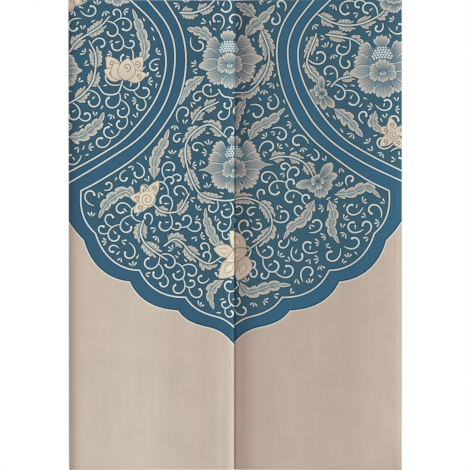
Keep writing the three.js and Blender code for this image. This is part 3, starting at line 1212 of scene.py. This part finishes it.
def gridLines(fine):
    # lines down and across the whole curtain, closer together where the cloth bends or a hem starts
    width, drop, step, seam = (hungCloth[name] for name in ("width", "drop", "hemStep", "seamLength"))
    slit, outer, low = hemStarts()
    hemSpacing = step / 2 if fine else step
    lapEnd = seam + hungCloth["parting"] + hungCloth["lapLength"]
    columns = stopsAlong((0, slit, 1.1), (slit, slit + step, hemSpacing), (slit + step, 70, 7),
                         (70, outer - step, 14), (outer - step, outer, hemSpacing), (outer, width, 5))
    rows = stopsAlong((0, seam, 46), (seam, lapEnd, 9), (lapEnd, low - 40, 48), (low - 40, low - step, 12),
                      (low - step, low, hemSpacing), (low, drop - 12, 6), (drop - 12, drop, 1.5))
    lines = [((side * column, 0), (side * column, drop)) for column in columns for side in (-1, 1)][1:]
    return lines + [((-width, row), (width, row)) for row in rows]


def triangulated(outlines, lines):
    points = []
    edges = []
    for outline in outlines:
        first, count = len(points), len(outline)
        points += [Vector(place) for place in outline.tolist()]
        edges += [(first + k, first + (k + 1) % count) for k in range(count)]
    for start, end in lines:
        points += [Vector(start), Vector(end)]
        edges.append((len(points) - 2, len(points) - 1))
    made = delaunay_2d_cdt(points, edges, [], 0, 0.02)
    return np.array([tuple(place) for place in made[0]]), np.array([tuple(face) for face in made[2]], int)


def topShapes(outlines, centres):
    # the last painted shape over each triangle, or -1 for bare cloth
    top = np.full(len(centres), -1)
    order = np.argsort(centres[:, 0])
    sortedAcross = centres[order, 0]
    for k in range(len(outlines) - 1, -1, -1):
        low, high = outlines[k].min(0), outlines[k].max(0)
        near = order[np.searchsorted(sortedAcross, low[0]):np.searchsorted(sortedAcross, high[0])]
        near = near[(top[near] < 0) & (centres[near, 1] >= low[1]) & (centres[near, 1] <= high[1])]
        if len(near):
            top[near[insideOutline(outlines[k], centres[near])]] = k
    return top


def linearColour(colour):
    colour = np.asarray(colour, float)
    return np.where(colour <= 0.04045, colour / 12.92, ((colour + 0.055) / 1.055) ** 2.4)


# painted light: the blue inks are made lighter on the right panel, which stands in more shade; factors for
# red, green and blue
paintedLightOnRight = {inkColours["band"]: (1.16, 1.24, 1.22), inkColours["ground"]: (1.18, 1.20, 1.14)}


def cornerColours(painted, top, corners, fade):
    # the print's colour at each corner of each triangle
    # fade is how much of the bare cloth's colour is mixed in, for the back
    bare = linearColour(inkColours["cloth"])
    colours = np.tile(bare, (len(corners), 3, 1))
    order = np.argsort(top, kind="stable")
    starts = np.searchsorted(top[order], np.arange(len(painted) + 1))
    for k, (outline, first, last, fadeFrom, fadeEnd) in enumerate(painted):
        mine = order[starts[k]:starts[k + 1]]
        if not len(mine):
            continue
        way = np.asarray(fadeEnd, float) - fadeFrom
        share = ((corners[mine] - fadeFrom) @ way / (way @ way)).clip(0, 1)[..., None]
        colours[mine] = linearColour(first) * (1 - share) + linearColour(last) * share
        # painted light: the blue is made lighter on the right panel
        if first in paintedLightOnRight:
            onRight = corners[mine].mean(1)[:, 0] > 0
            colours[mine[onRight]] *= paintedLightOnRight[first]
    colours = colours + (bare - colours) * fade
    return np.concatenate([colours, np.ones(colours.shape[:2] + (1,))], 2)


def makePrintedFaces(painted, tolerance, fine, fade):
    outlines = [simplified(shape[0], tolerance) for shape in painted]
    places, triangles = triangulated(outlines, gridLines(fine))
    corners = places[triangles]
    return places, triangles, cornerColours(painted, topShapes(outlines, corners.mean(1)), corners, fade)


bakeLayout = {
    "across": 0.48 / 428.0,
    "down": 0.985 / 1204.0,
    "starts": (0.006, 0.514),
    "top": 0.995,
    "marginAcross": 1.5,
    "marginDown": 2.0,
    "rimStep": 0.5,
}


def clothChart(fromMiddle, down, layer):
    # where a place of the face (layer 0) or the back (layer 1) goes on the square the finish is baked to
    u = bakeLayout["starts"][layer] + (fromMiddle + bakeLayout["marginAcross"]) * bakeLayout["across"]
    v = bakeLayout["top"] - (down + bakeLayout["marginDown"]) * bakeLayout["down"]
    return np.stack([u, v], -1)


def rimPlace(fromMiddle, down):
    # how far round the panel's rim a point of the rim is, clockwise from the top of the middle edge
    width, drop = hungCloth["width"], hungCloth["drop"]
    distances = np.stack([down, width - fromMiddle, drop - down, fromMiddle])
    edge = np.argmin(np.abs(distances), 0)
    along = [fromMiddle, width + down, width + drop + (width - fromMiddle), 2 * width + drop + (drop - down)]
    return np.take_along_axis(np.stack(along), edge[None], 0)[0]


def snapped(values, end):
    # a rim point lies a hair off the outline where a line of the print runs into it
    return np.where(values < 0.2, 0.0, np.where(values > end - 0.2, end, values))


def endOf(values, end):
    # -1 at the start of a side, 1 at its end and 0 between
    return np.where(values < 0.01, -1, np.where(values > end - 0.01, 1, 0))


class panelMesh:
    # a panel's face, back and rim as one closed mesh; a line along the rim stands out a little and rounds it
    def __init__(self, panel):
        self.panel = panel
        self.side = panel["side"]
        self.places, self.normals = [], []
        self.faces, self.colours, self.charts, self.cuts = [], [], [], []
        self.count = 0

    def addPoints(self, places, normals):
        self.places.append(places)
        self.normals.append(normals)
        self.count += len(places)

    def addFaces(self, faces, colours, charts, fromMiddle, down):
        # charts, fromMiddle and down have a row for each corner of each face
        self.faces.append(faces)
        self.colours.append(colours)
        self.charts.append(charts)
        self.cuts.append(np.stack([self.side * fromMiddle, -down], -1) * metre)

    def addLayer(self, layer, places, triangles, corners):
        # one side of the panel, cut out of the print; returns its rim in order
        width, drop = hungCloth["width"], hungCloth["drop"]
        centres = places[triangles].mean(1)
        inside = (centres[:, 0] * self.side > 0) & (np.abs(centres[:, 0]) < width)
        inside &= (centres[:, 1] > 0) & (centres[:, 1] < drop)
        used, renumbered = np.unique(triangles[inside], return_inverse=True)
        mine = renumbered.reshape(-1, 3)
        fromMiddle, down = np.abs(places[used, 0]), places[used, 1]
        pairs = np.sort(np.concatenate([mine[:, [0, 1]], mine[:, [1, 2]], mine[:, [2, 0]]]), axis=1)
        found, count = np.unique(pairs, axis=0, return_counts=True)
        rim = np.unique(found[count == 1])
        fromMiddle[rim] = snapped(fromMiddle[rim], width)
        down[rim] = snapped(down[rim], drop)
        # seen from its own side, each triangle runs the other way round
        way = -1 if layer == 0 else 1
        mine, colours = mine[:, ::way], corners[inside][:, ::way]
        chart = clothChart(fromMiddle, down, layer)
        inks = np.zeros((len(used), 4))
        inks[mine.ravel()] = colours.reshape(-1, 4)
        rim = rim[np.argsort(rimPlace(fromMiddle[rim], down[rim]))]
        start = self.count
        self.addFaces(mine + start, colours, chart[mine], fromMiddle[mine], down[mine])
        self.addPoints(clothPoints(self.panel, fromMiddle, down, layer),
                       clothNormals(self.panel, fromMiddle, down, layer))
        return {"vertex": rim + start, "fromMiddle": fromMiddle[rim], "down": down[rim], "ink": inks[rim],
                "place": rimPlace(fromMiddle[rim], down[rim])}

    def addRim(self, front, back):
        outAcross = endOf(front["fromMiddle"], hungCloth["width"])
        outDown = endOf(front["down"], hungCloth["drop"])
        outward = np.stack([self.side * outAcross, outAcross * 0, -outDown], -1)
        middle = clothPoints(self.panel, front["fromMiddle"], front["down"], 0.5)
        count, backCount = len(middle), len(back["place"])
        line = dict(front, vertex=np.arange(count) + self.count)
        self.addPoints(middle + outward * hungCloth["rimBulge"] * metre,
                       outward / np.linalg.norm(outward, axis=1, keepdims=True))
        # the rim's points are numbered through: the face's, then the line's, then the back's
        points = {name: np.concatenate([front[name], line[name], back[name]]) for name in front}
        step = bakeLayout["rimStep"]
        still = [np.zeros(count), np.zeros(backCount)]
        chartAcross = points["fromMiddle"] + np.concatenate([still[0], step * outAcross, still[1]])
        chartDown = points["down"] + np.concatenate([still[0], step * outDown, still[1]])
        strips = [[], []]
        for k in range(count):
            n = (k + 1) % count
            strips[0] += [(k, n, count + n), (k, count + n, count + k)]
        # the line and the back's outline have different points, so they are joined by whichever comes next
        places = [np.append(edge["place"], np.inf) for edge in (front, back)]
        i = j = 0
        while i < count or j < backCount:
            here, there = count + i % count, 2 * count + j % backCount
            if i < count and (j >= backCount or places[0][i + 1] <= places[1][j + 1]):
                strips[1].append((here, count + (i + 1) % count, there))
                i += 1
            else:
                strips[1].append((here, 2 * count + (j + 1) % backCount, there))
                j += 1
        for layer, strip in enumerate(strips):
            corners = np.array(strip)[:, ::self.side]
            self.addFaces(points["vertex"][corners], points["ink"][corners],
                          clothChart(chartAcross[corners], chartDown[corners], layer),
                          points["fromMiddle"][corners], points["down"][corners])

    def finished(self, name, material):
        faces = np.concatenate(self.faces)
        places = np.concatenate(self.places)
        mesh = bpy.data.meshes.new(name)
        mesh.vertices.add(len(places))
        mesh.vertices.foreach_set("co", places.ravel())
        mesh.loops.add(faces.size)
        mesh.loops.foreach_set("vertex_index", faces.ravel().astype(np.int32))
        mesh.polygons.add(len(faces))
        mesh.polygons.foreach_set("loop_start", np.arange(0, faces.size, 3, dtype=np.int32))
        mesh.polygons.foreach_set("loop_total", np.full(len(faces), 3, np.int32))
        mesh.update(calc_edges=True)
        for layerName, values in (("OFBake", self.charts), ("flatCut", self.cuts)):
            uvMap = mesh.uv_layers.new(name=layerName)
            uvMap.data.foreach_set("uv", np.concatenate(values).ravel())
        ink = mesh.color_attributes.new("print", "FLOAT_COLOR", "CORNER")
        ink.data.foreach_set("color", np.concatenate(self.colours).ravel())
        mesh.polygons.foreach_set("use_smooth", np.ones(len(faces), bool))
        mesh.normals_split_custom_set_from_vertices(np.concatenate(self.normals).tolist())
        mesh.materials.append(material)
        mesh.validate()
        print(name, "has", len(mesh.vertices), "points and", len(mesh.polygons), "triangles")
        return addObject(name, mesh)


def makePanel(name, panel, front, back, material):
    made = panelMesh(panel)
    rims = [made.addLayer(layer, *face) for layer, face in enumerate((front, back))]
    made.addRim(*rims)
    return made.finished(name, material)


makeCamera()
makeLights()
print("camera and lights made")
cloth = makePrintedCloth()
front = makePrintedFaces(shapes, tolerance=0.14, fine=False, fade=0.0)
print("printed face has", len(front[1]), "triangles")
# the finest lines don't come through to the back
backInk = [shape for shape in shapes if shape[1] not in (inkColours["vein"], inkColours["halo"])]
back = makePrintedFaces(backInk, tolerance=0.35, fine=True, fade=0.28)
print("back has", len(back[1]), "triangles")
clothPieces = {side: makePanel("cloth_" + side, panel, front, back, cloth) for side, panel in panels.items()}


stitchStyle = {
    "pitch": 4.6,
    "length": 3.4,
    "thickness": 0.46,
    "proud": 0.06,
    "inset": 2.2,
    "seed": 5,
    "unevenness": (0.86, 1.08),
    "roughness": 0.78,
    "twists": 2600.0,
    "twistShare": 0.35,
    "twistDark": 0.80,
}


def hemLines(panel):
    # the rows of stitches on one panel, each on the face and on the back
    inset = stitchStyle["inset"]
    slit, outer, low = hemStarts()
    slit, outer, low = slit - inset, outer + inset, low + inset
    down = np.arange(3.0, hungCloth["drop"] - 3.0, 4.0)
    across = np.arange(slit + 3, outer - 3, 4.0)
    rows = ((down * 0 + slit, down), (down * 0 + outer, down), (across, across * 0 + low))
    for fromMiddle, downTo in rows:
        for depth in (0.0, 1.0):
            normals = clothNormals(panel, fromMiddle, downTo, depth)
            yield clothPoints(panel, fromMiddle, downTo, depth) + normals * stitchStyle["proud"] * metre


def makeStitchTree(thread):
    tree = bpy.data.node_groups.new("row of stitches", "GeometryNodeTree")
    for name, kind in (("Rows", "Geometry"), ("Pitch", "Float"), ("Stitch length", "Float"),
                       ("Thread thickness", "Float"), ("Seed", "Int"), ("Cloth", "Object")):
        tree.interface.new_socket(name, in_out="INPUT", socket_type="NodeSocket" + kind)
    tree.interface.new_socket("Stitches", in_out="OUTPUT", socket_type="NodeSocketGeometry")
    build = shade(tree)
    given = build.node("NodeGroupInput", {}, {})
    inputs = {socket.name: shade(tree, socket) for socket in given.socket.node.outputs if socket.name}
    evenRows = build.node("GeometryNodeResampleCurve", {"mode": "LENGTH"},
                          {"Curve": inputs["Rows"], "Length": inputs["Pitch"]})
    bead = build.node("GeometryNodeMeshUVSphere", {}, {"Segments": 6, "Rings": 4, "Radius": 0.5})
    along = build.node("GeometryNodeInputTangent", {}, {})
    turn = build.node("FunctionNodeAlignRotationToVector", {"axis": "Z"}, {"Vector": along})
    shortest, longest = stitchStyle["unevenness"]
    uneven = build.node("FunctionNodeRandomValue", {"data_type": "FLOAT"},
                        {2: shortest, 3: longest, "Seed": inputs["Seed"]}, 1)
    thick = inputs["Thread thickness"]
    size = build.node("ShaderNodeCombineXYZ", {}, {0: thick, 1: thick, 2: inputs["Stitch length"] * uneven})
    placed = build.node("GeometryNodeInstanceOnPoints", {},
                        {"Points": evenRows, "Instance": bead, "Rotation": turn, "Scale": size})
    # the thread was printed along with the cloth, so each stitch has the colour of the print under it
    under = build.node("GeometryNodeObjectInfo", {}, {"Object": inputs["Cloth"]}, 4)
    ink = build.node("GeometryNodeInputNamedAttribute", {"data_type": "FLOAT_COLOR"}, {"Name": "print"})
    found = build.node("GeometryNodeSampleNearestSurface", {"data_type": "FLOAT_COLOR"},
                       {"Mesh": under, "Value": ink})
    inked = build.node("GeometryNodeStoreNamedAttribute", {"data_type": "FLOAT_COLOR", "domain": "INSTANCE"},
                       {"Geometry": placed, "Name": "print", "Value": found})
    real = build.node("GeometryNodeRealizeInstances", {}, {"Geometry": inked})
    done = build.node("GeometryNodeSetMaterial", {}, {"Geometry": real, "Material": thread})
    build.node("NodeGroupOutput", {}, {0: done})
    return tree


def makeThread():
    material, build, inputs = newMaterial("hem thread", stitchStyle["roughness"])
    place = build.node("ShaderNodeTexCoord", {}, {}, 3)
    ink = build.node("ShaderNodeAttribute", {"attribute_name": "print"}, {})
    twist = build.node("ShaderNodeTexNoise", {},
                       {"Vector": place, "Scale": stitchStyle["twists"], "Detail": 1.0})
    ink.scaled(twist * stitchStyle["twistShare"] + stitchStyle["twistDark"]).feed(inputs["Base Color"])
    return material


def makeStitches(name, panel, clothPiece, tree):
    rows = bpy.data.curves.new(name + " rows", "CURVE")
    rows.dimensions = "3D"
    for points in hemLines(panel):
        spline = rows.splines.new("POLY")
        spline.points.add(len(points) - 1)
        spline.points.foreach_set("co", np.concatenate([points, np.ones((len(points), 1))], 1).ravel())
    guide = addObject(name + " rows", rows)
    modifier = guide.modifiers.new("stitches", "NODES")
    modifier.node_group = tree
    values = {
        "Pitch": stitchStyle["pitch"] * metre,
        "Stitch length": stitchStyle["length"] * metre,
        "Thread thickness": stitchStyle["thickness"] * metre,
        "Seed": stitchStyle["seed"],
        "Cloth": clothPiece,
    }
    for item in tree.interface.items_tree:
        if item.in_out == "INPUT" and item.name in values:
            modifier[item.identifier] = values[item.name]
    mesh = bpy.data.meshes.new_from_object(guide.evaluated_get(bpy.context.evaluated_depsgraph_get()))
    mesh.name = name
    bpy.data.objects.remove(guide)
    bpy.data.curves.remove(rows)
    # the bead's own empty slot comes before the thread
    thread = next(material for material in mesh.materials if material)
    mesh.materials.clear()
    mesh.materials.append(thread)
    mesh.polygons.foreach_set("material_index", np.zeros(len(mesh.polygons), np.int32))
    mesh.polygons.foreach_set("use_smooth", np.ones(len(mesh.polygons), bool))
    print(name, "has", len(mesh.polygons), "faces")
    return addObject(name, mesh)


stitchTree = makeStitchTree(makeThread())
stitchPieces = {side: makeStitches("stitches_" + side, panels[side], clothPieces[side], stitchTree)
                for side in panels}
makeFloor()
for side, piece in clothPieces.items():
    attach(stitchPieces[side], "root")
    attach(piece, "root")
    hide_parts("panel_" + side)
